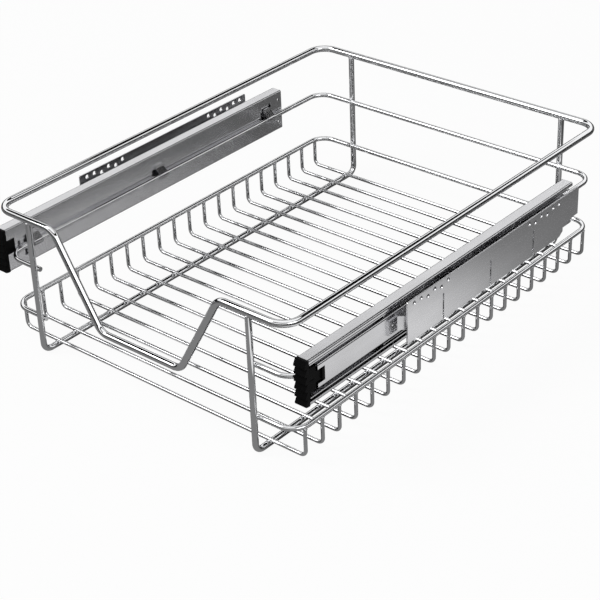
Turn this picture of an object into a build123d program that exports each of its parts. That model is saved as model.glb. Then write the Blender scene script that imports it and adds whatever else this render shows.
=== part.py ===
from build123d import *
import math
import os

# Pull-out wire basket for a kitchen cabinet, on two ball-bearing slides.
# The origin is on the floor under the middle of the basket.
# X points right, Y points back into the cabinet, Z points up. Millimetres.

# ---- Basket ----
rim_width = 357.0            # centre line to centre line, left to right
rim_depth = 476.0            # centre line to centre line, front to back
corner_radius = 18.0         # centre line of every rim corner
top_rim_wire = 7.0           # wire diameters
side_rim_wire = 5.0
post_wire = 6.0
cross_wire = 3.6
lower_rim_rise = 30.5        # lower rim above the cross wires
rim_pitch = 54.0             # lower rim to middle rim, and middle rim to top rim
weld_sink = 0.4              # how far a welded wire end sinks into the other wire
post_inset = 42.5            # posts in from the rim's sides
post_bend = 9.0              # centre line of the bend at each post's foot

# ---- Handle dip in the top rim ----
handle_top_half = 102.5      # half widths at the rim and at the grip
handle_grip_half = 50.0
handle_drop = 90.5
handle_bend = 14.0

# ---- Cross wires ----
cross_count = 20
cross_margin = 17.5          # first and last wire in from the rim's ends
cross_bend = 6.0

# ---- Slides ----
slide_length = 400.0
slide_height = 45.0
slide_depth = 12.7
slide_front = 8.0            # slide's front end behind the rim's front
slide_above_rim = 2.0        # slide's middle above the middle rim
hook_gap = 0.5               # middle rim to the drawer member's web
outer_sheet = 1.2            # sheet of the drawer and cabinet members
inner_sheet = 1.0            # sheet of the intermediate member
retainer_sheet = 0.4
lip_height = 2.4             # turned-in lip of the drawer member
ball_gap = 0.3               # each side of a ball
outer_ball = 3.8
inner_ball = 3.0
web_gap = 0.4                # between webs and retainers
retainer_hole_gap = 0.1
bend_outside = 1.8           # outside radius of the members' folded corners
cutter = 5.0                 # length of a cutter that goes through one sheet
travel = 350.0
retainer_lag = 4.0           # travel over this: how far a retainer moves against its race
intermediate_front_gap = 2.0
intermediate_rear_gap = 4.0
cabinet_front_gap = 12.0     # cabinet member's front behind the slide's front
cabinet_rear_gap = 2.0
race_end_gap = 2.5           # retainer's end to the end of a race, at the end of its travel
ball_pitch = 24.0
outer_balls_per_race = 9
inner_balls_per_race = 8
ball_end = 5.0               # outermost ball to the retainer's end

# ---- Hooks of the drawer member ----
first_hook = 34.0            # middle of a hook behind the slide's front
middle_hook_share = 0.52     # of the slide's length
last_hook_inset = 23.0       # from the slide's rear end
hook_length = 10.5
hook_clearance = 0.25        # round the middle rim
hook_slope = 40.0            # degrees above level of the face that closes over the rim
hook_tip = 4.0               # upright tip in the window
window_lead = 6.5            # window in front of the hook
window_gap = 0.5             # and behind it
window_top = 13.8            # above the slide's middle

# ---- Front cut-outs and rear holes of the drawer member ----
front_slot_place = 22.0
front_slot_width = 4.3
front_slot_height = 27.6
setting_hole_place = 14.5
setting_hole_width = 3.0
setting_hole_height = 5.5
setting_hole_rise = 2.5
latch_notch_length = 9.4
latch_notch_low = -4.0       # from the slide's middle
latch_notch_high = 11.0
rear_hole_inset = 6.0
rear_hole_radius = 1.6
rear_hole_half_pitch = 13.0

# ---- Front bumper ----
bumper_plate = 2.6
bumper_teeth = 6
tooth_depth = 2.8
tooth_ledge = 0.1            # share of a tooth's height under its edge
tooth_edge = 0.3             # share of a tooth's height where its edge ends
bumper_root = 0.5            # how far the bumper's arms start inside its plate
race_tongue_length = 25.0
tongue_inset = 3.0
bumper_gap = 0.35            # round the latch tab, and beside the intermediate member's web
plug_length = 10.5
plug_half = 12.4
plug_split = 1.2             # between the plug's two lobes
plug_round = 3.0
nose_half = 5.5              # tongue and nose in the cabinet member's front notch
nose_reach = 8.2             # past the cabinet member's front end
nose_thickness = 4.5
nose_tip = 2.4
front_notch_length = 9.2     # cabinet member's front notch
front_notch_half = 7.0

# ---- Bracket ----
plate_offset = 22.8          # plate's inner face out from the drawer member's web
plate_sheet = 1.5
plate_front = 127.0          # behind the rim's front
plate_height = 41.7
plate_above_slide = 3.6      # plate's middle above the slide's middle
first_hole = 9.6             # behind the plate's front edge
hole_pitch = 10.0
holes_per_group = 6
second_group = 188.6         # first hole of the rear group behind the plate's front edge
hole_radius = 2.25
hole_below_edge = 4.2
zigzag = 2.8
zigzag_front = (0, 0, 1, 0, 1, 0)
plate_corner = 1.5
left_plate_reach = 9.0       # plate behind its last hole
right_plate_reach = 35.0
slit_places = (52.7, 126.0, 196.0)
slit_width = 2.0
slit_height = 27.0
step_lengths = (26.0, 6.0)   # cut corner at the right plate's lower rear end
step_heights = (8.0, 12.5)

# ---- Bridges and rivets ----
bridge_sheet = 1.2
bridge_height = 14.0
bridge_foot = 13.0
bridge_ramp = 10.0
bridge_pad = 14.0
bridge_places = (-12.5, 76.0, 150.0)     # foot's front end behind the plate's front edge
rivet_radius = 1.6
rivet_head_radius = 2.9
rivet_head = 1.0
rivet_gap = 0.1

# ---- Worked out from the sizes above ----
front = -rim_depth / 2
back = rim_depth / 2
side = rim_width / 2
runner_z = post_wire / 2
cross_z = runner_z + post_wire / 2 + cross_wire / 2 - weld_sink / 2
lower_z = cross_z + lower_rim_rise
middle_z = lower_z + rim_pitch
top_z = middle_z + rim_pitch
inner_loop_inset = post_wire / 2 + side_rim_wire / 2 - weld_sink / 2
post_x = side - post_inset

slide_z = middle_z + slide_above_rim
slide_y = front + slide_front
web_x = side + side_rim_wire / 2 + hook_gap
half_height = slide_height / 2
outer_ball_z = half_height - outer_sheet - ball_gap - outer_ball / 2
mid_half = outer_ball_z - outer_ball / 2 - ball_gap
inner_ball_z = mid_half - inner_sheet - ball_gap - inner_ball / 2
cabinet_half = inner_ball_z - inner_ball / 2 - ball_gap
outer_retainer_u = outer_sheet + web_gap
mid_u = outer_retainer_u + retainer_sheet + web_gap
inner_retainer_u = mid_u + inner_sheet + web_gap
cabinet_u = inner_retainer_u + retainer_sheet + web_gap
mid_edge_u = slide_depth - outer_sheet / 2 - 2 * ball_gap
cabinet_back_u = slide_depth - outer_sheet + ball_gap
mid_front = slide_y + intermediate_front_gap
mid_length = slide_length - intermediate_front_gap - intermediate_rear_gap
cabinet_front = slide_y + cabinet_front_gap
cabinet_length = slide_length - cabinet_front_gap - cabinet_rear_gap
plate_y = front + plate_front
plate_z = slide_z + plate_above_slide
outer_strip_edge = slide_depth - outer_sheet - 2 * ball_gap
inner_strip_edge = cabinet_back_u - outer_sheet
outer_ball_u = (outer_retainer_u + outer_strip_edge) / 2
inner_ball_u = (inner_retainer_u + inner_strip_edge) / 2
hook_inside = side_rim_wire / 2 + hook_clearance
hook_rows = (
    slide_y + first_hook,
    slide_y + slide_length * middle_hook_share,
    slide_y + slide_length - last_hook_inset,
)


def bent_wire(points, bends, diameter, closed=False):
    """Round wire along straight runs joined by tangent bends."""
    path = FilletPolyline(*points, radius=bends, close=closed)
    section = Plane(origin=path @ 0, z_dir=path % 0) * Circle(diameter / 2)
    return sweep(section, path=path)


def top_rim():
    points = [
        (-handle_top_half, front, top_z),
        (-handle_grip_half, front, top_z - handle_drop),
        (handle_grip_half, front, top_z - handle_drop),
        (handle_top_half, front, top_z),
        (side, front, top_z),
        (side, back, top_z),
        (-side, back, top_z),
        (-side, front, top_z),
    ]
    bends = [handle_bend] * 4 + [corner_radius] * 4
    return bent_wire(points, bends, top_rim_wire, closed=True)


def side_rim(height):
    """C-shaped loop whose two ends stop behind the front posts."""
    near = front + inner_loop_inset
    far = back - inner_loop_inset
    end_x = post_x - post_wire / 2
    points = [
        (-end_x, near, height),
        (-side, near, height),
        (-side, far, height),
        (side, far, height),
        (side, near, height),
        (end_x, near, height),
    ]
    return bent_wire(points, corner_radius, side_rim_wire)


def post_runner(x):
    """Front post, runner and rear post, bent from one wire."""
    post_top = top_z - top_rim_wire / 2 + weld_sink
    points = [
        (x, front, post_top),
        (x, front, runner_z),
        (x, back, runner_z),
        (x, back, post_top),
    ]
    return bent_wire(points, post_bend, post_wire)


def cross_wire_at(y):
    leg_top = lower_z - side_rim_wire / 2 + weld_sink
    points = [
        (-side, y, leg_top),
        (-side, y, cross_z),
        (side, y, cross_z),
        (side, y, leg_top),
    ]
    return bent_wire(points, cross_bend, cross_wire)


def section_plane(x, y, z):
    """Upright plane across the slides: its normal points to the front."""
    return Plane(origin=(x, y, z), x_dir=(1, 0, 0), z_dir=(0, -1, 0))


def box_between(u_low, u_high, y_low, y_high, z_mid, height):
    """Block of the right slide. u runs outwards from the drawer member's web, and
    z_mid is measured from the slide's middle."""
    return Pos(web_x + (u_low + u_high) / 2, (y_low + y_high) / 2, slide_z + z_mid) * Box(
        u_high - u_low, y_high - y_low, height)


def cross_hole(u, y, z, radius):
    """Cutter for a round hole through a sheet that faces left and right."""
    return Pos(web_x + u, y, slide_z + z) * Cylinder(radius, cutter, rotation=(0, 90, 0))


def channel(u_web, u_edge, half, sheet, lip, length, y_start):
    """Channel along Y. Its web is at u_web and its flanges end at u_edge; u runs
    outwards from the drawer member's web. A lip turns in at each flange's edge."""
    sign = 1 if u_edge > u_web else -1
    outline = Pos((u_web + u_edge) / 2, 0) * Rectangle(abs(u_edge - u_web), 2 * half)
    inner_low = u_web + sign * sheet
    inner_high = u_edge - sign * sheet if lip else u_edge + sign * sheet
    hollow = Pos((inner_low + inner_high) / 2, 0) * Rectangle(abs(inner_high - inner_low), 2 * (half - sheet))
    if lip:
        mouth = Pos(u_edge, 0) * Rectangle(cutter, 2 * (half - sheet - lip))
        body = fillet(outline.vertices(), bend_outside) - hollow - mouth
    else:
        folded = outline.vertices().group_by(Axis.X)[0 if sign > 0 else -1]
        body = fillet(folded, bend_outside) - hollow
    return extrude(section_plane(web_x, y_start + length, slide_z) * body, amount=length)


def hook(y):
    """Hook bent out of the web, under the middle rim, up in front of it, and back
    over it with its tip in the window."""
    inner = hook_inside
    outer = inner + outer_sheet
    web_near = web_x - side
    lean = math.radians(90 + hook_slope)
    low = (inner * math.cos(lean), inner * math.sin(lean))
    high = (outer * math.cos(lean), outer * math.sin(lean))
    run = (web_near + outer_sheet / 2 - (low[0] + high[0]) / 2) / math.sin(lean)
    step = (run * math.sin(lean), -run * math.cos(lean))
    far = 2 * outer
    open_side = make_face(Polyline((0, 0), (0, -far), (far, -far), (far, far),
                                   (far * math.cos(lean), far * math.sin(lean)), close=True))
    round_part = Circle(outer) - Circle(inner) - open_side
    foot = Pos((web_near + outer_sheet) / 2, -(inner + outer) / 2) * Rectangle(
        web_near + outer_sheet, outer_sheet)
    slope = make_face(Polyline(low, high, (high[0] + step[0], high[1] + step[1]),
                               (low[0] + step[0], low[1] + step[1]), close=True))
    tip_low = low[1] + step[1]
    tip_high = (low[1] + high[1]) / 2 + step[1] + hook_tip
    tip = Pos(web_near + outer_sheet / 2, (tip_low + tip_high) / 2) * Rectangle(
        outer_sheet, tip_high - tip_low)
    profile = round_part + foot + slope + tip
    return extrude(section_plane(side, y + hook_length / 2, middle_z) * profile, amount=hook_length)


def web_cut(y_low, y_high, z_low, z_high):
    """Block that cuts the drawer member's web; y from the slide's front, z from its middle."""
    return box_between(outer_sheet / 2 - cutter / 2, outer_sheet / 2 + cutter / 2,
                       slide_y + y_low, slide_y + y_high, (z_low + z_high) / 2, z_high - z_low)


def drawer_member():
    member = channel(0, slide_depth, half_height, outer_sheet, lip_height, slide_length, slide_y)
    for y in hook_rows:
        middle = y - slide_y
        member -= web_cut(middle - hook_length / 2 - window_lead, middle + hook_length / 2 + window_gap,
                          middle_z - hook_inside - slide_z, window_top)
        member += hook(y)
    member -= web_cut(front_slot_place - front_slot_width / 2, front_slot_place + front_slot_width / 2,
                      -front_slot_height / 2, front_slot_height / 2)
    member -= web_cut(setting_hole_place - setting_hole_width / 2,
                      setting_hole_place + setting_hole_width / 2,
                      setting_hole_rise - setting_hole_height / 2,
                      setting_hole_rise + setting_hole_height / 2)
    member -= web_cut(-latch_notch_length, latch_notch_length, latch_notch_low, latch_notch_high)
    for offset in (-rear_hole_half_pitch, rear_hole_half_pitch):
        member -= cross_hole(outer_sheet / 2, slide_y + slide_length - rear_hole_inset, offset,
                             rear_hole_radius)
    return member


def intermediate_member():
    return channel(mid_u, mid_edge_u, mid_half, inner_sheet, 0, mid_length, mid_front)


def cabinet_member():
    member = channel(cabinet_back_u, cabinet_u, cabinet_half, outer_sheet, 0, cabinet_length, cabinet_front)
    member -= box_between(cabinet_back_u - cutter / 2, cabinet_back_u + cutter / 2,
                          cabinet_front - front_notch_length, cabinet_front + front_notch_length,
                          0, 2 * front_notch_half)
    for y in rivet_rows():
        member -= cross_hole(cabinet_back_u, y, 0, rivet_radius + rivet_gap)
    return member


def ball_rows(y_start, count, u, z, radius, extra=0.0):
    """The balls of the upper and lower race, or the holes for them."""
    balls = []
    for level in (-z, z):
        for number in range(count):
            place = Pos(web_x + u, y_start + ball_end + number * ball_pitch, slide_z + level)
            balls.append(place * Sphere(radius + extra))
    return balls


def retainer(u_web, u_edge, z, y_start, count, ball_u, ball):
    """Thin channel whose flanges run between the races and hold the balls."""
    length = 2 * ball_end + (count - 1) * ball_pitch
    half = z + retainer_sheet / 2
    outline = Pos((u_web + u_edge) / 2, 0) * Rectangle(u_edge - u_web, 2 * half)
    hollow = Pos(retainer_sheet + (u_web + u_edge) / 2, 0) * Rectangle(
        u_edge - u_web, 2 * (half - retainer_sheet))
    cage = extrude(section_plane(web_x, y_start + length, slide_z) * (outline - hollow), amount=length)
    for hole in ball_rows(y_start, count, ball_u, z, ball / 2, retainer_hole_gap):
        cage -= hole
    return cage


def toothed_cap():
    """Plate across the slide's front end, with a stack of saw teeth."""
    tooth = slide_height / bumper_teeth
    plate_y0 = slide_y - bumper_plate
    edge_y = plate_y0 - tooth_depth
    points = [(slide_y, -half_height)]
    for number in range(bumper_teeth):
        low = -half_height + number * tooth
        points.append((plate_y0, low))
        points.append((edge_y, low + tooth * tooth_ledge))
        points.append((edge_y, low + tooth * tooth_edge))
    points.append((plate_y0, half_height))
    points.append((slide_y, half_height))
    side_plane = Plane(origin=(web_x, 0, slide_z), x_dir=(0, 1, 0), z_dir=(1, 0, 0))
    return extrude(side_plane * make_face(Polyline(*points, close=True)), amount=slide_depth)


def front_bumper():
    """End cap with arms in the races, a two-lobed plug behind it, a tab in the latch
    notch, and a sprung nose that holds the cabinet member when the basket is shut."""
    cap = toothed_cap()
    arm_low = mid_half + 2 * ball_gap
    arm_high = half_height - outer_sheet - bumper_gap
    arm_u = outer_retainer_u + tongue_inset
    arm_start = slide_y - bumper_root
    lobe_height = plug_half - plug_split / 2
    plug_u = mid_u + inner_sheet + bumper_gap
    for level in (-1, 1):
        cap += box_between(arm_u, outer_strip_edge, arm_start, slide_y + race_tongue_length,
                           level * (arm_low + arm_high) / 2, arm_high - arm_low)
        lobe = box_between(plug_u, inner_strip_edge, arm_start, slide_y + plug_length,
                           level * (plug_split + lobe_height) / 2, lobe_height)
        rear = lobe.edges().filter_by(Axis.X).group_by(Axis.Y)[-1]
        cap += fillet(rear, plug_round)
    nose_end = cabinet_front + nose_reach
    nose_u = inner_strip_edge - bumper_gap
    cap += box_between(nose_u - nose_thickness, nose_u, arm_start, nose_end, 0, 2 * nose_half)
    cap += box_between(nose_u - nose_thickness, cabinet_back_u, nose_end - nose_tip, nose_end,
                       0, 2 * nose_half)
    tab_low = latch_notch_low + bumper_gap
    tab_high = latch_notch_high - bumper_gap
    cap += box_between(0, outer_sheet, arm_start, slide_y + latch_notch_length - bumper_gap,
                       (tab_low + tab_high) / 2, tab_high - tab_low)
    return cap


def bracket_plate(rear_reach, stepped):
    last_hole = second_group + (holes_per_group - 1) * hole_pitch
    length = last_hole + rear_reach
    low = -plate_height / 2
    high = plate_height / 2
    rear_low = [(length, low)]
    if stepped:
        rear_low = [
            (length - step_lengths[0] - step_lengths[1], low),
            (length - step_lengths[0], low + step_heights[0] / 2),
            (length - step_lengths[0], low + step_heights[0]),
            (length - step_lengths[1], low + step_heights[1]),
            (length, low + step_heights[1]),
        ]
    points = [(0, low)] + rear_low + [(length, high), (0, high)]
    side_plane = Plane(origin=(web_x + plate_offset, plate_y, plate_z), x_dir=(0, 1, 0), z_dir=(1, 0, 0))
    outline = make_face(Polyline(*points, close=True))
    tops = outline.vertices().group_by(Axis.Y)[-1]
    outline = fillet(tops, plate_corner)
    for group, order in ((first_hole, zigzag_front), (second_group, zigzag_front[::-1])):
        for number, lower in enumerate(order):
            centre = (group + number * hole_pitch, high - hole_below_edge - lower * zigzag)
            outline -= Pos(*centre) * Circle(hole_radius)
    for place in slit_places:
        outline -= Pos(place, low + slit_height / 2) * Rectangle(slit_width, slit_height)
    return extrude(side_plane * outline, amount=plate_sheet)


def bridges():
    """Joggled strips: the foot lies on the cabinet member, the pad on the plate."""
    strips = []
    for place in bridge_places:
        y0 = plate_y + place
        y1 = y0 + bridge_foot
        y2 = y1 + bridge_ramp
        y3 = y2 + bridge_pad
        foot = web_x + cabinet_back_u
        pad = web_x + plate_offset - bridge_sheet
        points = [(foot, y0), (foot, y1), (pad, y2), (pad, y3),
                  (pad + bridge_sheet, y3), (pad + bridge_sheet, y2 - bridge_sheet / 2),
                  (foot + bridge_sheet, y1 - bridge_sheet / 2), (foot + bridge_sheet, y0)]
        outline = make_face(Polyline(*points, close=True))
        level = Plane.XY.offset(slide_z - bridge_height / 2)
        strip = extrude(level * outline, amount=bridge_height)
        strips.append(strip - cross_hole(cabinet_back_u, y0 + bridge_foot / 2, 0, rivet_radius + rivet_gap))
    return strips


def rivet_rows():
    return [plate_y + place + bridge_foot / 2 for place in bridge_places]


def rivets():
    """A shank through foot and web with a domed head at each end."""
    pieces = []
    outer_face = web_x + cabinet_back_u + bridge_sheet
    inner_face = web_x + cabinet_back_u - outer_sheet
    for y in rivet_rows():
        shank = Pos((outer_face + inner_face) / 2, y, slide_z) * Cylinder(
            rivet_radius, outer_face - inner_face, rotation=(0, 90, 0))
        head = Pos(outer_face + rivet_head / 2, y, slide_z) * Cylinder(
            rivet_head_radius, rivet_head, rotation=(0, 90, 0))
        tail = Pos(inner_face - rivet_head / 2, y, slide_z) * Cylinder(
            rivet_head_radius, rivet_head, rotation=(0, 90, 0))
        pieces.append(shank + chamfer(head.edges().group_by(Axis.X)[-1], rivet_head / 2) + tail)
    return pieces


def slide_parts(reach, stepped):
    """Every piece of the right slide and its bracket, as name and solids."""
    outer_start = mid_front + travel / retainer_lag + race_end_gap
    inner_start = cabinet_front + travel / retainer_lag + race_end_gap
    return {
        "drawer_member": [drawer_member()],
        "intermediate_member": [intermediate_member()],
        "cabinet_member": [cabinet_member()],
        "outer_ball_retainer": [retainer(outer_retainer_u, outer_strip_edge, outer_ball_z, outer_start,
                                         outer_balls_per_race, outer_ball_u, outer_ball)],
        "outer_balls": ball_rows(outer_start, outer_balls_per_race, outer_ball_u, outer_ball_z,
                                 outer_ball / 2),
        "inner_ball_retainer": [retainer(inner_retainer_u, inner_strip_edge, inner_ball_z, inner_start,
                                         inner_balls_per_race, inner_ball_u, inner_ball)],
        "inner_balls": ball_rows(inner_start, inner_balls_per_race, inner_ball_u, inner_ball_z,
                                 inner_ball / 2),
        "front_bumper": [front_bumper()],
        "bracket_plate": [bracket_plate(reach, stepped)],
        "bracket_bridges": bridges(),
        "bridge_rivets": rivets(),
    }


def write(name, solids):
    export_step(Compound(children=solids) if len(solids) > 1 else solids[0], f"parts/{name}.step")


os.makedirs("parts", exist_ok=True)
write("top_rim", [top_rim()])
write("middle_rim", [side_rim(middle_z)])
write("lower_rim", [side_rim(lower_z)])
write("left_post_runner", [post_runner(-post_x)])
write("right_post_runner", [post_runner(post_x)])
cross_pitch = (rim_depth - 2 * cross_margin) / (cross_count - 1)
for number in range(cross_count):
    write(f"cross_wire_{number + 1:02d}", [cross_wire_at(front + cross_margin + number * cross_pitch)])
for name, solids in slide_parts(right_plate_reach, True).items():
    write(f"right_{name}", solids)
for name, solids in slide_parts(left_plate_reach, False).items():
    write(f"left_{name}", [mirror(solid, about=Plane.YZ) for solid in solids])
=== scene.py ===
# %% [markdown]
# # A pull-out wire basket on two ball-bearing slides
# The basket is bent from chromed steel wire and welded. It hangs on two telescopic slides of
# zinc-plated sheet, and the slides hang on two bracket plates that are screwed to a cabinet.
# The packed model gives every size and place, so it is loaded first and never moved.

# %% Load the frame
import math

import bpy
from mathutils import Matrix, Vector


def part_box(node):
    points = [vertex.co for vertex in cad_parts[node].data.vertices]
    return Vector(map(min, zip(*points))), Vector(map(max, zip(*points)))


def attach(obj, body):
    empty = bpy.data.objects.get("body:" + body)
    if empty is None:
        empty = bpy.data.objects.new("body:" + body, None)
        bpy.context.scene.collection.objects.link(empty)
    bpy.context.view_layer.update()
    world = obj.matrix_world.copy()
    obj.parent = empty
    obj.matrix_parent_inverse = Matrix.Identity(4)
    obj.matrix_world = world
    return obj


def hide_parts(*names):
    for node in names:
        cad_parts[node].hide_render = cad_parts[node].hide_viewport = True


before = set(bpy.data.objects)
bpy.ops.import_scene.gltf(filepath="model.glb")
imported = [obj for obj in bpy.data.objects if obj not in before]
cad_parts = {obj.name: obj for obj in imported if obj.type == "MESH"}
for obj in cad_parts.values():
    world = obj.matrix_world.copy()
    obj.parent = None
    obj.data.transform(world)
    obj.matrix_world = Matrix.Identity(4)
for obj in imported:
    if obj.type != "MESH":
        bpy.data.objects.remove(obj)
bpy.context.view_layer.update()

MM = 0.001


def span(node):
    """Lowest corner and highest corner of a packed node."""
    low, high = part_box(node)
    return Vector(low), Vector(high)


# %% [markdown]
# ## Sizes
# Most sizes are read from the packed nodes' boxes, so the picture follows the model if it changes.
# A bend's radius, the handle's corners and the thick rim's diameter can't be read from a box, so
# they are written here as the real sizes.

# %% Sizes of the basket
rim_low, rim_high = span("top_rim")
middle_low, middle_high = span("middle_rim")
lower_low, lower_high = span("lower_rim")
post_low, post_high = span("right_post_runner")
first_low, first_high = span("cross_wire_01")

top_rim_wire = 7.0 * MM
side_rim_wire = middle_high.z - middle_low.z
post_wire = post_high.x - post_low.x
cross_wire = first_high.y - first_low.y
corner_radius = 18.0 * MM
handle_bend = 14.0 * MM
handle_top_half = 102.5 * MM
handle_grip_half = 50.0 * MM
post_bend = 9.0 * MM
cross_bend = 6.0 * MM

side_x = rim_high.x - top_rim_wire / 2
front_y = rim_low.y + top_rim_wire / 2
back_y = rim_high.y - top_rim_wire / 2
top_z = rim_high.z - top_rim_wire / 2
grip_z = rim_low.z + top_rim_wire / 2
middle_z = (middle_low.z + middle_high.z) / 2
lower_z = (lower_low.z + lower_high.z) / 2
post_x = (post_low.x + post_high.x) / 2
runner_z = post_low.z + post_wire / 2
cross_z = first_low.z + cross_wire / 2
print(f"basket {side_x * 2:.4f} x {back_y - front_y:.4f} m, top rim at {top_z:.4f} m")

# %% [markdown]
# ## Writing shader maths as Python
# A finish is a node tree, and it could be linked by hand, one node after another. To keep its sums
# readable, a socket is wrapped in a small class instead, so that `1 - wear * 0.3` adds the Math
# nodes by itself. Any other node comes from one method, which sets the node up before it links it.

# %% A socket that takes part in sums


class Level:
    """A number that varies over a surface: a shader socket that takes part in sums."""

    def __init__(self, tree, socket):
        self.tree = tree
        self.socket = socket

    def math(self, operation, *values):
        return self.tree.node("ShaderNodeMath", {"operation": operation}, dict(enumerate(values)))

    def __add__(self, other):
        return self.math("ADD", self, other)

    __radd__ = __add__

    def __sub__(self, other):
        return self.math("SUBTRACT", self, other)

    def __rsub__(self, other):
        return self.math("SUBTRACT", other, self)

    def __mul__(self, other):
        return self.math("MULTIPLY", self, other)

    __rmul__ = __mul__

    def __abs__(self):
        return self.math("ABSOLUTE", self)

    def sibling(self, output):
        """Another output of the same node."""
        return Level(self.tree, self.socket.node.outputs[output])


# %% A tree whose nodes come from one method


def grey(value):
    return (value, value, value, 1.0)


class ShaderTree:
    """A node tree in which every node comes from one method."""

    def __init__(self, tree):
        self.tree = tree

    def node(self, kind, settings, sockets, output=0):
        made = self.tree.nodes.new(kind)
        for name, value in settings.items():
            if name == "stops":
                ramp = made.color_ramp.elements
                while len(ramp) < len(value):
                    ramp.new(1.0)
                for element, (place, colour) in zip(ramp, value):
                    element.position = place
                    element.color = colour
            else:
                setattr(made, name, value)
        for name, value in sockets.items():
            if isinstance(value, Level):
                self.tree.links.new(value.socket, made.inputs[name])
            else:
                made.inputs[name].default_value = value
        return Level(self, made.outputs[output])


# %% A finish, and the patterns that finishes share


class Finish(ShaderTree):
    """One material: its Principled shader and the nodes that feed it."""

    def __init__(self, name, **fixed):
        self.material = bpy.data.materials.new(name)
        self.material.use_nodes = True
        super().__init__(self.material.node_tree)
        self.shader = self.tree.nodes["Principled BSDF"]
        for socket, value in fixed.items():
            self.shader.inputs[socket.replace("_", " ")].default_value = value

    def feed(self, socket, level):
        self.tree.links.new(level.socket, self.shader.inputs[socket])

    def noise(self, scale, detail=3.0, roughness=0.5, stretch=(1.0, 1.0, 1.0)):
        """Noise on Object coordinates; a small stretch along an axis draws lines along it."""
        coordinates = self.node("ShaderNodeTexCoord", {}, {}, "Object")
        placed = self.node("ShaderNodeMapping", {}, {"Vector": coordinates, "Scale": stretch})
        sockets = {"Vector": placed, "Scale": scale, "Detail": detail, "Roughness": roughness}
        return self.node("ShaderNodeTexNoise", {}, sockets, "Fac")

    def blend(self, factor, first, second):
        """A colour between two colours."""
        sockets = {"Factor": factor, 6: first, 7: second}
        return self.node("ShaderNodeMix", {"data_type": "RGBA"}, sockets, 2)

    def contrast(self, factor, start, end):
        """Black up to start and white from end on, with a ramp between."""
        stops = ((start, grey(0.0)), (end, grey(1.0)))
        return self.node("ShaderNodeValToRGB", {"stops": stops}, {"Fac": factor}, "Color")

    def bump(self, height, strength, distance):
        sockets = {"Height": height, "Strength": strength, "Distance": distance}
        return self.node("ShaderNodeBump", {}, sockets, "Normal")


print("a Finish has", [name for name in vars(Finish) if not name.startswith("_")])

# %% [markdown]
# ## Chrome on wire
# Chrome plate is a mirror with a faint blue cast. One flat colour and one roughness look like
# plastic foil, so the wire is a little duller where it has been handled, and a slow bump bends the
# reflections as on real drawn wire. An image could give the same, but noise needs no file.

# %% Chromed wire
CHROME_CLEAN = (0.93, 0.935, 0.945, 1.0)
CHROME_HANDLED = (0.86, 0.865, 0.88, 1.0)
CLEAN_HAZE = 0.02
HANDLED_HAZE = 0.04
SPECK_HAZE = 0.01


def chromed_wire():
    finish = Finish("chromed_wire", Metallic=1.0)
    handled = finish.noise(scale=38.0, detail=4.0, roughness=0.6)
    specks = finish.noise(scale=900.0, detail=2.0)
    waves = finish.noise(scale=45.0, detail=1.0, roughness=0.4)
    patches = finish.contrast(handled, start=0.3, end=0.75)
    finish.feed("Base Color", finish.blend(patches, CHROME_CLEAN, CHROME_HANDLED))
    finish.feed("Roughness", CLEAN_HAZE + handled * HANDLED_HAZE + specks * SPECK_HAZE)
    finish.feed("Normal", finish.bump(waves, strength=0.05, distance=0.0005))
    return finish.material


chrome = chromed_wire()
print("finish", chrome.name)

# %% [markdown]
# A weld is plated with the rest of the basket, but its skin is pitted and duller. It gets a finish
# of its own, because a pit darkens the colour, roughens the skin and dents it in the same place.

# %% Chrome over a weld
WELD_SKIN = (0.70, 0.70, 0.71, 1.0)
WELD_PIT = (0.42, 0.42, 0.43, 1.0)
WELD_HAZE = 0.16
PIT_HAZE = 0.22


def weld_chrome():
    finish = Finish("weld_chrome", Metallic=1.0)
    pits = finish.noise(scale=700.0, detail=4.0, roughness=0.65)
    finish.feed("Base Color", finish.blend(pits, WELD_SKIN, WELD_PIT))
    finish.feed("Roughness", WELD_HAZE + pits * PIT_HAZE)
    finish.feed("Normal", finish.bump(pits, strength=0.5, distance=0.0003))
    return finish.material


weld = weld_chrome()
print("finish", weld.name)

# %% [markdown]
# ## Zinc on rolled steel
# The slide members are rolled from zinc-plated strip. Rolling leaves fine lines along the strip,
# which here is the Y axis, and the plating has faint clouds. Noise that is stretched along Y gives
# the lines, and the same noise drives roughness and bump, so both agree.

# %% Zinc on the slides, the plates and the rivets
ZINC_CAST = 1.02
LINE_STRETCH = (900.0, 9.0, 900.0)
CLOUD_STRETCH = (1.0, 0.6, 1.0)
LINE_SHARE = 0.30
CLOUD_SHARE = 0.62
SPANGLE_SHARE = 0.08
SPANGLE_HEIGHT = 0.1
LINE_HAZE = 0.05
CLOUD_HAZE = 0.06


def rolled_steel(name, light, dark, haze):
    """Zinc between two greys, a touch bluer than grey, with a given lowest roughness."""
    finish = Finish(name, Metallic=1.0)
    lines = finish.noise(scale=1.0, roughness=0.6, stretch=LINE_STRETCH)
    clouds = finish.noise(scale=26.0, detail=4.0, roughness=0.55, stretch=CLOUD_STRETCH)
    spangle = finish.noise(scale=420.0, detail=2.0)
    mixed = lines * LINE_SHARE + clouds * CLOUD_SHARE + spangle * SPANGLE_SHARE
    patches = finish.contrast(mixed, start=0.3, end=0.7)
    light_zinc = (light, light, light * ZINC_CAST, 1.0)
    dark_zinc = (dark, dark, dark * ZINC_CAST, 1.0)
    finish.feed("Base Color", finish.blend(patches, light_zinc, dark_zinc))
    finish.feed("Roughness", haze + lines * LINE_HAZE + clouds * CLOUD_HAZE)
    finish.feed("Normal", finish.bump(lines + spangle * SPANGLE_HEIGHT, strength=0.035, distance=0.0002))
    return finish.material


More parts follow.
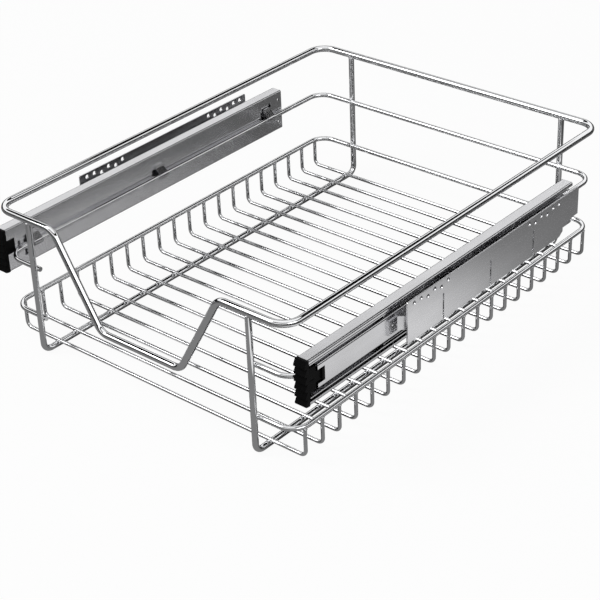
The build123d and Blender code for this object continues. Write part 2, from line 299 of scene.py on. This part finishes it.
zinc = rolled_steel("zinc_steel", light=0.71, dark=0.65, haze=0.12)
plate_zinc = rolled_steel("bracket_steel", light=0.84, dark=0.77, haze=0.20)
rivet_zinc = rolled_steel("rivet_steel", light=0.40, dark=0.30, haze=0.28)
print("steel finishes", zinc.name, plate_zinc.name, rivet_zinc.name)

# %% [markdown]
# The balls are hardened and polished, with a thin film of grease that is brownish where it is
# thick. They have no grain, so one noise for the film is enough.

# %% Ball steel
BALL_BARE = (0.66, 0.66, 0.67, 1.0)
BALL_GREASED = (0.5, 0.49, 0.46, 1.0)
BALL_HAZE = 0.1
GREASE_HAZE = 0.12


def ball_steel():
    finish = Finish("ball_steel", Metallic=1.0)
    film = finish.noise(scale=300.0)
    finish.feed("Base Color", finish.blend(film, BALL_BARE, BALL_GREASED))
    finish.feed("Roughness", BALL_HAZE + film * GREASE_HAZE)
    return finish.material


polished = ball_steel()
print("finish", polished.name)

# %% [markdown]
# ## Black moulded plastic
# The bumpers are moulded in black plastic with a fine spark-eroded grain. The plastic is nearly
# black all over, and a little paler and duller where it has been rubbed. The grain is far too fine
# to model, so it is a bump.

# %% Black plastic
PLASTIC_FRESH = (0.0015, 0.0015, 0.0016, 1.0)
PLASTIC_RUBBED = (0.0035, 0.0035, 0.0038, 1.0)
PLASTIC_HAZE = 0.30
GRAIN_HAZE = 0.18
RUBBED_HAZE = 0.10


def black_plastic():
    finish = Finish("black_plastic", Metallic=0.0, Specular_IOR_Level=0.06)
    grain = finish.noise(scale=1500.0, roughness=0.7)
    rubbed = finish.noise(scale=120.0)
    finish.feed("Base Color", finish.blend(rubbed, PLASTIC_FRESH, PLASTIC_RUBBED))
    finish.feed("Roughness", PLASTIC_HAZE + grain * GRAIN_HAZE + rubbed * RUBBED_HAZE)
    finish.feed("Normal", finish.bump(grain, strength=0.25, distance=0.0002))
    return finish.material


plastic = black_plastic()
print("finish", plastic.name)

# %% [markdown]
# ## Wires by Geometry Nodes
# Every wire of the basket is the same thing: a path with rounded corners and a round section. It
# could be a curve with a bevel, drawn by hand, but there are 25 of them. So a tree takes the bare
# corner points, rounds each corner by the radius kept on that point, and carries a circle along
# the path. The radius is an attribute, because the handle's bends are tighter than the rim's
# corners.

# %% What every tree has


def new_tree(name, floats=()):
    """An empty geometry tree with named inputs, and its input and output nodes."""
    tree = bpy.data.node_groups.new(name, "GeometryNodeTree")
    tree.interface.new_socket("Geometry", in_out="INPUT", socket_type="NodeSocketGeometry")
    for label in floats:
        tree.interface.new_socket(label, in_out="INPUT", socket_type="NodeSocketFloat")
    tree.interface.new_socket("Finish", in_out="INPUT", socket_type="NodeSocketMaterial")
    tree.interface.new_socket("Geometry", in_out="OUTPUT", socket_type="NodeSocketGeometry")
    return tree, tree.nodes.new("NodeGroupInput"), tree.nodes.new("NodeGroupOutput")


def chain(tree, source, *nodes):
    """Links the first output of each node to the first input of the next."""
    for node in nodes:
        tree.links.new(source.outputs[0], node.inputs[0])
        source = node


def kept_on_points(tree, kind, name):
    """What each point keeps under a name."""
    reader = tree.nodes.new("GeometryNodeInputNamedAttribute")
    reader.data_type = kind
    reader.inputs["Name"].default_value = name
    return reader.outputs["Attribute"]


def finish_tree(tree, source, given, result):
    """Ends a tree: smooth faces, real geometry in place of instances, and the finish."""
    smooth = tree.nodes.new("GeometryNodeSetShadeSmooth")
    realize = tree.nodes.new("GeometryNodeRealizeInstances")
    coat = tree.nodes.new("GeometryNodeSetMaterial")
    chain(tree, source, smooth, realize, coat, result)
    tree.links.new(given.outputs["Finish"], coat.inputs["Material"])


# %% The tree that bends a wire
ARC_STEPS = 12
SECTION_SIDES = 24


def wire_tree():
    tree, given, result = new_tree("bent_wire", ("Wire diameter",))
    path = tree.nodes.new("GeometryNodeMeshToCurve")
    rounded = tree.nodes.new("GeometryNodeFilletCurve")
    section = tree.nodes.new("GeometryNodeCurvePrimitiveCircle")
    half = tree.nodes.new("ShaderNodeMath")
    tube = tree.nodes.new("GeometryNodeCurveToMesh")
    rounded.mode = "POLY"
    rounded.inputs["Count"].default_value = ARC_STEPS
    section.inputs["Resolution"].default_value = SECTION_SIDES
    half.operation = "DIVIDE"
    half.inputs[1].default_value = 2.0
    tube.inputs["Fill Caps"].default_value = True
    chain(tree, given, path, rounded, tube)
    tree.links.new(kept_on_points(tree, "FLOAT", "bend"), rounded.inputs["Radius"])
    tree.links.new(given.outputs["Wire diameter"], half.inputs[0])
    tree.links.new(half.outputs[0], section.inputs["Radius"])
    tree.links.new(section.outputs["Curve"], tube.inputs["Profile Curve"])
    finish_tree(tree, tube, given, result)
    return tree


WIRE_TREE = wire_tree()
print("tree", WIRE_TREE.name, len(WIRE_TREE.nodes), "nodes")

# %% [markdown]
# A tree's result is turned into a plain mesh before the piece rides on its body: the modifier is
# only the way to make it. The inputs are set by their identifiers before the first evaluation,
# because a modifier doesn't know them by their names.

# %% Running a tree and keeping its mesh


def grow(name, tree, points, edges, values, attributes):
    """A piece made by a tree from bare points and edges."""
    base = bpy.data.meshes.new(name + "_points")
    base.from_pydata([tuple(point) for point in points], edges, [])
    for label, (kind, numbers) in attributes.items():
        layer = base.attributes.new(label, kind, "POINT")
        field = "value" if kind == "FLOAT" else "vector"
        for index, number in enumerate(numbers):
            setattr(layer.data[index], field, number)
    seed = bpy.data.objects.new(name, base)
    bpy.context.collection.objects.link(seed)
    modifier = seed.modifiers.new("grow", "NODES")
    modifier.node_group = tree
    identifiers = {item.name: item.identifier for item in tree.interface.items_tree
                   if item.item_type == "SOCKET" and item.in_out == "INPUT"}
    for label, value in values.items():
        modifier[identifiers[label]] = value
    bpy.context.view_layer.update()
    grown = seed.evaluated_get(bpy.context.evaluated_depsgraph_get())
    mesh = bpy.data.meshes.new_from_object(grown)
    mesh.name = name
    seed.modifiers.remove(modifier)
    seed.data = mesh
    return seed


def bent_wire(name, corners, bends, diameter, body, closed=False):
    """A wire through its corners, riding on a body in place of the node of that name."""
    edges = [(index, index + 1) for index in range(len(corners) - 1)]
    if closed:
        edges.append((len(corners) - 1, 0))
    values = {"Wire diameter": diameter, "Finish": chrome}
    piece = grow(name + "_wire", WIRE_TREE, corners, edges, values, {"bend": ("FLOAT", bends)})
    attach(piece, body)
    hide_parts(name)
    return piece


# %% [markdown]
# ## The three rims
# The thick top rim is one closed loop. Its front goes down as a trapezoid, and the low run is the
# handle. The two thinner rims are loops that stop at the front posts, so that the front is open.
# All three follow from their corner points alone.

# %% Rims


def side_rim_points(node, height):
    low, high = span(node)
    near = low.y + side_rim_wire / 2
    far = high.y - side_rim_wire / 2
    end_x = post_x - post_wire / 2
    return [Vector((-end_x, near, height)), Vector((-side_x, near, height)),
            Vector((-side_x, far, height)), Vector((side_x, far, height)),
            Vector((side_x, near, height)), Vector((end_x, near, height))]


top_points = [
    Vector((-handle_top_half, front_y, top_z)),
    Vector((-handle_grip_half, front_y, grip_z)),
    Vector((handle_grip_half, front_y, grip_z)),
    Vector((handle_top_half, front_y, top_z)),
    Vector((side_x, front_y, top_z)),
    Vector((side_x, back_y, top_z)),
    Vector((-side_x, back_y, top_z)),
    Vector((-side_x, front_y, top_z)),
]
top_bends = [handle_bend] * 4 + [corner_radius] * 4
top_rim = bent_wire("top_rim", top_points, top_bends, top_rim_wire, "basket", closed=True)
print(top_rim.name, len(top_rim.data.polygons), "faces")
for node, height in (("middle_rim", middle_z), ("lower_rim", lower_z)):
    points = side_rim_points(node, height)
    rim = bent_wire(node, points, [corner_radius] * len(points), side_rim_wire, "basket")
    print(rim.name, len(rim.data.polygons), "faces")

# %% [markdown]
# ## Posts, runners and cross wires
# Each post and its runner are one wire: down at the front, back under the basket, and up at the
# rear. The cross wires are shallow U shapes that hang from the lower rim and lie on the runners.
# Each takes its place along Y from its own packed node, so none is counted or spaced twice.

# %% Post runners and cross wires
for node, x in (("left_post_runner", -post_x), ("right_post_runner", post_x)):
    points = [Vector((x, front_y, post_high.z)), Vector((x, front_y, runner_z)),
              Vector((x, back_y, runner_z)), Vector((x, back_y, post_high.z))]
    bent_wire(node, points, [post_bend] * len(points), post_wire, "basket")

cross_nodes = sorted(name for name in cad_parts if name.startswith("cross_wire_"))
cross_rows = []
for node in cross_nodes:
    low, high = span(node)
    y = (low.y + high.y) / 2
    cross_rows.append(y)
    points = [Vector((-side_x, y, high.z)), Vector((-side_x, y, cross_z)),
              Vector((side_x, y, cross_z)), Vector((side_x, y, high.z))]
    bent_wire(node, points, [cross_bend] * len(points), cross_wire, "basket")
print("2 post runners and", len(cross_rows), "cross wires")

# %% [markdown]
# ## Welds
# Wire goods are resistance welded: the two wires sink a little into each other and a small collar
# is squeezed out round the contact. A union of the wires would give only a sharp seam, so every
# contact gets one squashed ball instead. A tree puts the balls at bare points, with the half sizes
# kept on each point.

# %% The tree that sets beads


def bead_tree(segments, rings):
    tree, given, result = new_tree("beads")
    ball = tree.nodes.new("GeometryNodeMeshUVSphere")
    ball.inputs["Segments"].default_value = segments
    ball.inputs["Rings"].default_value = rings
    ball.inputs["Radius"].default_value = 1.0
    scatter = tree.nodes.new("GeometryNodeInstanceOnPoints")
    chain(tree, given, scatter)
    tree.links.new(ball.outputs["Mesh"], scatter.inputs["Instance"])
    tree.links.new(kept_on_points(tree, "FLOAT_VECTOR", "half_size"), scatter.inputs["Scale"])
    finish_tree(tree, scatter, given, result)
    return tree


COLLAR_TREE = bead_tree(segments=14, rings=8)
FINE_BALL_TREE = bead_tree(segments=24, rings=14)
print("trees", COLLAR_TREE.name, FINE_BALL_TREE.name)


def beads(name, places, coat, tree):
    """Balls at places, which is a list of (centre, half size)."""
    points = [centre for centre, half in places]
    sizes = [half for centre, half in places]
    return grow(name, tree, points, [], {"Finish": coat}, {"half_size": ("FLOAT_VECTOR", sizes)})


# %% [markdown]
# There are four kinds of contact: a cross wire's leg on the lower rim, a cross wire on a runner,
# the top rim on a post, and a side rim on a post. The half sizes of each collar are shares of the
# two wires that meet, so that a collar stands out of them by only a few tenths of a millimetre.

# %% Weld collars of the basket
leg_half = Vector((cross_wire * 0.60, cross_wire * 0.66, cross_wire * 0.30))
lie_half = Vector((post_wire * 0.36, cross_wire * 0.62, cross_wire * 0.28))
post_half = Vector((post_wire * 0.57, post_wire * 0.5, post_wire * 0.22))
rim_half = Vector((side_rim_wire * 0.5, side_rim_wire * 0.22, side_rim_wire * 0.45))

collars = []
for y in cross_rows:
    for side in (-1, 1):
        collars.append((Vector((side * side_x, y, lower_z - side_rim_wire / 2)), leg_half))
        collars.append((Vector((side * post_x, y, cross_z - cross_wire / 2)), lie_half))
for x in (-post_x, post_x):
    for y, inward in ((front_y, 1), (back_y, -1)):
        collars.append((Vector((x, y, top_z - top_rim_wire / 2)), post_half))
        for z in (middle_z, lower_z):
            collars.append((Vector((x, y + inward * post_wire / 2, z)), rim_half))
welds = beads("weld_collars", collars, weld, COLLAR_TREE)
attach(welds, "basket")
print(len(collars), "weld collars")

# %% [markdown]
# ## Balls of the slides
# The balls run between the members, in an upper and a lower race. A packed ball has flat facets,
# and a polished ball shows each of them, so a finer ball stands for each. The packed box of a
# side's balls gives their radius and their spacing.

# %% Balls
BALLS_PER_RACE = {"outer_balls": 9, "inner_balls": 8}
for hand in ("left", "right"):
    for kind, count in BALLS_PER_RACE.items():
        low, high = span(f"{hand}_{kind}")
        radius = (high.x - low.x) / 2
        step = (high.y - low.y - 2 * radius) / (count - 1)
        size = Vector((radius, radius, radius))
        spots = [(Vector((low.x + radius, low.y + radius + index * step, z)), size)
                 for z in (low.z + radius, high.z - radius) for index in range(count)]
        balls = beads(f"{hand}_{kind}_fine", spots, polished, FINE_BALL_TREE)
        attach(balls, f"{hand}_" + kind.replace("balls", "retainer"))
        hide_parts(f"{hand}_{kind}")
        print(balls.name, len(spots), "balls of", round(radius / MM, 2), "mm radius")

# %% [markdown]
# ## Finishes of the sheet metal and the bumpers
# The channels, plates, bridges, rivets and bumpers have their full shape in the packed model, so
# they could be remade here only to come out the same. They keep their packed mesh and get a finish.

# %% Finishes of the packed nodes
COATS = {
    "drawer_member": zinc,
    "intermediate_member": zinc,
    "cabinet_member": zinc,
    "outer_ball_retainer": zinc,
    "inner_ball_retainer": zinc,
    "bracket_plate": plate_zinc,
    "bracket_bridges": plate_zinc,
    "bridge_rivets": rivet_zinc,
    "front_bumper": plastic,
}
for hand in ("left", "right"):
    for kind, coat in COATS.items():
        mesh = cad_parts[f"{hand}_{kind}"].data
        mesh.materials.clear()
        mesh.materials.append(coat)
print(2 * len(COATS), "packed nodes coated")

# %% [markdown]
# ## Camera
# The camera stands in front, to the right and above, with a long lens, so that the basket's sides
# stay nearly parallel. Its place is written as a turn, a rise and a distance, which are easier to
# adjust than a matrix, and a small roll tilts the picture.

# %% Camera
VIEW_TURN = math.radians(41.47)
VIEW_RISE = math.radians(30.87)
VIEW_ROLL = math.radians(-2.39)
VIEW_DISTANCE = 1.720
VIEW_RIGHT = -0.0117
VIEW_UP = -0.0045
FOCAL_PIXELS = 1705.0
IMAGE_PIXELS = 600.0
SENSOR = 36.0
CLIP_NEAR = 0.05
CLIP_FAR = 60.0

back = Vector((math.sin(VIEW_TURN) * math.cos(VIEW_RISE),
               -math.cos(VIEW_TURN) * math.cos(VIEW_RISE),
               math.sin(VIEW_RISE)))
level = Vector((math.cos(VIEW_TURN), math.sin(VIEW_TURN), 0.0))
rise = back.cross(level)
right = level * math.cos(VIEW_ROLL) + rise * math.sin(VIEW_ROLL)
up = rise * math.cos(VIEW_ROLL) - level * math.sin(VIEW_ROLL)
eye = back * VIEW_DISTANCE + right * VIEW_RIGHT + up * VIEW_UP

camera_data = bpy.data.cameras.new("camera")
camera_data.sensor_width = SENSOR
camera_data.lens = FOCAL_PIXELS / IMAGE_PIXELS * SENSOR
camera_data.clip_start = CLIP_NEAR
camera_data.clip_end = CLIP_FAR
camera = bpy.data.objects.new("camera", camera_data)
camera.matrix_world = Matrix((
    (right.x, up.x, back.x, eye.x),
    (right.y, up.y, back.y, eye.y),
    (right.z, up.z, back.z, eye.z),
    (0.0, 0.0, 0.0, 1.0)))
bpy.context.collection.objects.link(camera)
bpy.context.scene.camera = camera
print("camera at", [round(value, 3) for value in eye])

# %% [markdown]
# ## Floor
# The basket stands on white paper. Paper that is only lit comes out grey, and more light would
# burn out the basket, so most of the floor's white is its own glow. Only the rays that look at the
# floor meet that glow, while the share of plain paper that is left keeps the basket's shadow.

# %% Floor
FLOOR_HALF = 8.0
FLOOR_WHITE_SHARE = 0.93
PAPER_DARK = grey(0.88)
PAPER_LIGHT = grey(0.90)


def flat_sheet(name, half, height):
    corners = [(-half, -half, height), (half, -half, height), (half, half, height), (-half, half, height)]
    mesh = bpy.data.meshes.new(name)
    mesh.from_pydata(corners, [], [(0, 1, 2, 3)])
    made = bpy.data.objects.new(name, mesh)
    bpy.context.collection.objects.link(made)
    return made


def looking_rays(tree):
    """Camera, glossy and transmission rays: each is 1 for a ray of that kind."""
    camera_ray = tree.node("ShaderNodeLightPath", {}, {}, "Is Camera Ray")
    return camera_ray, camera_ray.sibling("Is Glossy Ray"), camera_ray.sibling("Is Transmission Ray")


def floor_paper():
    finish = Finish("floor_paper", Roughness=0.9, Specular_IOR_Level=0.0)
    fibres = finish.noise(scale=90.0, detail=2.0)
    finish.feed("Base Color", finish.blend(fibres, PAPER_DARK, PAPER_LIGHT))
    camera_ray, glossy_ray, through_ray = looking_rays(finish)
    share = (camera_ray + glossy_ray + through_ray) * FLOOR_WHITE_SHARE
    plain = Level(finish, finish.shader.outputs[0])
    glow = finish.node("ShaderNodeEmission", {}, {"Color": grey(1.0)})
    paper = finish.node("ShaderNodeMixShader", {}, {"Fac": share, 1: plain, 2: glow})
    finish.tree.links.new(paper.socket, finish.tree.nodes["Material Output"].inputs["Surface"])
    return finish.material


floor = flat_sheet("floor", FLOOR_HALF, 0.0)
floor.data.materials.append(floor_paper())
print("floor", FLOOR_HALF * 2, "m wide")

# %% [markdown]
# ## What the metal mirrors
# Chrome shows only what is round it, so its surroundings matter more than its material: white all
# round would leave the wire without an outline. Wire that stands upright mirrors the ground near
# it, so a glowing card lies on the floor for the metal alone to see, and its glow is painted
# reflection. It is nearly black under the basket, a painted shade, with a lighter strip there that
# the runners and cross wires pick up. A bright strip to the right is a painted highlight on the
# slide and the front of its bracket plate. The card is dimmer to the rear, beyond the bright strip
# and far out, as painted shade. The camera and the lamps don't meet it.

# %% Glowing card of painted reflections for the metal
CARD_HALF = 3.0
CARD_HEIGHT = 0.0006
CARD_GREY = 0.21
CARD_REAR = (0.02, 0.30)
CARD_REAR_LOSS = 0.35
CARD_OUTSIDE = (0.35, 0.37)
CARD_FAR = (0.46, 0.58)
CARD_FAR_LOSS = 0.45
# painted shade: how far and how strongly the card's glow drops under the basket
UNDER_EDGE_X = (0.155, 0.175)
UNDER_EDGE_Y = (0.215, 0.235)
UNDER_PAINTED_SHADE_LOSS = 0.85
# painted light: the lighter strip under the basket that the runners and cross wires mirror
STRIP_X = -0.062
STRIP_EDGE = (0.01, 0.08)
STRIP_REAR = (-0.05, 0.28)
STRIP_REAR_LOSS = 0.6
STRIP_LIGHT = 0.44
# painted highlight: the bright strip that the right slide and its bracket plate mirror
BRIGHT_X = 0.305
BRIGHT_EDGE = (0.032, 0.048)
BRIGHT_REAR = (0.0, 0.22)
BRIGHT_REAR_LOSS = 0.80
BRIGHT_LIGHT = 0.62


def fade(value, edge, loss=1.0):
    """1 up to the edge's start and 1 - loss beyond its end, with a soft step between."""
    sockets = {"Value": value, "From Min": edge[0], "From Max": edge[1]}
    step = value.tree.node("ShaderNodeMapRange", {"interpolation_type": "SMOOTHSTEP"}, sockets, "Result")
    return 1 - step * loss


# The card's glow is painted reflection: painted shade under the basket, to the rear and far out, and
# painted light in the two strips.
def painted_reflection_glow():
    finish = Finish("painted_reflection_card", Base_Color=grey(0.0), Specular_IOR_Level=0.0, Roughness=1.0,
                    Emission_Strength=1.0)
    spot = finish.node("ShaderNodeTexCoord", {}, {}, "Object")
    across = finish.node("ShaderNodeSeparateXYZ", {}, {"Vector": spot}, "X")
    depth = across.sibling("Y")
    from_middle = finish.node("ShaderNodeVectorMath", {"operation": "LENGTH"}, {0: spot}, "Value")
    # painted shade: the glow drops nearly to black under the basket, where the basket's shade falls
    under = fade(abs(across), UNDER_EDGE_X) * fade(abs(depth), UNDER_EDGE_Y)
    strip = fade(abs(across - STRIP_X), STRIP_EDGE) * fade(depth, STRIP_REAR, STRIP_REAR_LOSS)
    # painted highlight: a bright strip to the right, fading to the rear
    bright = fade(abs(across - BRIGHT_X), BRIGHT_EDGE) * fade(depth, BRIGHT_REAR, BRIGHT_REAR_LOSS)
    plain = CARD_GREY * (1 - under * UNDER_PAINTED_SHADE_LOSS) * fade(across, CARD_OUTSIDE, CARD_FAR_LOSS)
    light = plain + under * strip * STRIP_LIGHT + bright * BRIGHT_LIGHT
    # painted shade: the glow is dimmer to the rear and far out
    dimmed = light * fade(depth, CARD_REAR, CARD_REAR_LOSS) * fade(from_middle, CARD_FAR, CARD_FAR_LOSS)
    finish.feed("Emission Color", dimmed)
    return finish.material


def for_metal_only(sheet):
    """The camera, the floor's shading and the lamps pass through such a sheet."""
    sheet.visible_camera = False
    sheet.visible_diffuse = False
    sheet.visible_transmission = False
    sheet.visible_shadow = False


card = flat_sheet("painted_reflection_card", CARD_HALF, CARD_HEIGHT)
card.data.materials.append(painted_reflection_glow())
for_metal_only(card)
print("card", CARD_HALF * 2, "m wide")

# %% [markdown]
# ## Black flags
# The studio itself is white all round, and metal mirrors it as white. Two black flags stand far
# round the basket, as in a product photographer's studio. They are rings at a low and at a higher
# angle, so that every wire gets its fine black lines, whichever way it runs.

# %% Black flags for the metal
FLAG_DISTANCE = 5.0
FLAG_SEGMENTS = 64
FLAGS = {"low_flag": (0.0, 18.5), "high_flag": (38.0, 55.0)}
CLOTH_DARK = grey(0.008)
CLOTH_LIGHT = grey(0.012)


def flag_ring(name, low_angle, high_angle):
    """A ring round the basket between two angles above its floor, in degrees."""
    corners = []
    for angle in (math.radians(low_angle), math.radians(high_angle)):
        for step in range(FLAG_SEGMENTS):
            turn = 2 * math.pi * step / FLAG_SEGMENTS
            corners.append((FLAG_DISTANCE * math.cos(angle) * math.cos(turn),
                            FLAG_DISTANCE * math.cos(angle) * math.sin(turn),
                            FLAG_DISTANCE * math.sin(angle)))
    faces = []
    for step in range(FLAG_SEGMENTS):
        following = (step + 1) % FLAG_SEGMENTS
        faces.append((step, following, FLAG_SEGMENTS + following, FLAG_SEGMENTS + step))
    mesh = bpy.data.meshes.new(name)
    mesh.from_pydata(corners, [], faces)
    flag = bpy.data.objects.new(name, mesh)
    bpy.context.collection.objects.link(flag)
    for_metal_only(flag)
    return flag


def flag_cloth():
    finish = Finish("flag_cloth", Roughness=1.0, Specular_IOR_Level=0.0)
    weave = finish.noise(scale=40.0, detail=2.0)
    finish.feed("Base Color", finish.blend(weave, CLOTH_DARK, CLOTH_LIGHT))
    return finish.material


cloth = flag_cloth()
for name, (low_angle, high_angle) in FLAGS.items():
    flag_ring(name, low_angle, high_angle).data.materials.append(cloth)
print(len(FLAGS), "flags set")

# %% [markdown]
# ## World
# The world is plain white for every ray that looks at it, as a white studio is. As a light it is
# softer than that, or the metal and the paper would burn out. A picture of a real studio could
# stand round the basket instead, but it would bring a file and lights that can't be adjusted.

# %% World: white to be seen, softer to light with
WORLD_WHITE = 1.0
WORLD_SOFT = 0.55

world = bpy.data.worlds.new("studio")
bpy.context.scene.world = world
world.use_nodes = True
world.node_tree.nodes.clear()
studio = ShaderTree(world.node_tree)
soft = studio.node("ShaderNodeBackground", {}, {"Color": grey(1.0), "Strength": WORLD_SOFT})
white = studio.node("ShaderNodeBackground", {}, {"Color": grey(1.0), "Strength": WORLD_WHITE})
camera_ray, glossy_ray, through_ray = looking_rays(studio)
seen = camera_ray.math("MAXIMUM", camera_ray.math("MAXIMUM", camera_ray, glossy_ray), through_ray)
sky = studio.node("ShaderNodeMixShader", {}, {"Fac": seen, 1: soft, 2: white})
world_output = world.node_tree.nodes.new("ShaderNodeOutputWorld")
world.node_tree.links.new(sky.socket, world_output.inputs["Surface"])
print("world lights with", WORLD_SOFT, "and is seen as", WORLD_WHITE)

# %% [markdown]
# ## Lamps
# Two soft boxes light what isn't metal, such as the bumpers and the paper, and give the shadow its
# direction; the metal shows them as small highlights. The key lamp stands in front, to the left
# and above, and a weaker fill lamp opens the right side.

# %% Lamps
LAMP_AIM = Vector((0.0, 0.0, 0.05))


def lamp(name, place, size, watts):
    """A soft box of a width and height, turned towards the basket."""
    data = bpy.data.lights.new(name, "AREA")
    data.shape = "RECTANGLE"
    data.size, data.size_y = size
    data.energy = watts
    made = bpy.data.objects.new(name, data)
    made.location = place
    made.rotation_euler = (LAMP_AIM - Vector(place)).to_track_quat("-Z", "Y").to_euler()
    bpy.context.collection.objects.link(made)
    print("lamp", name, watts, "W")


lamp("key", place=(-1.4, -1.6, 2.2), size=(1.2, 1.2), watts=26.0)
lamp("fill", place=(2.2, -0.6, 1.4), size=(1.6, 1.0), watts=10.0)

# %% [markdown]
# ## Picture settings and the end
# The Standard view shows a colour as it is written.

# %% Picture settings and the end
bpy.context.scene.view_settings.view_transform = "Standard"
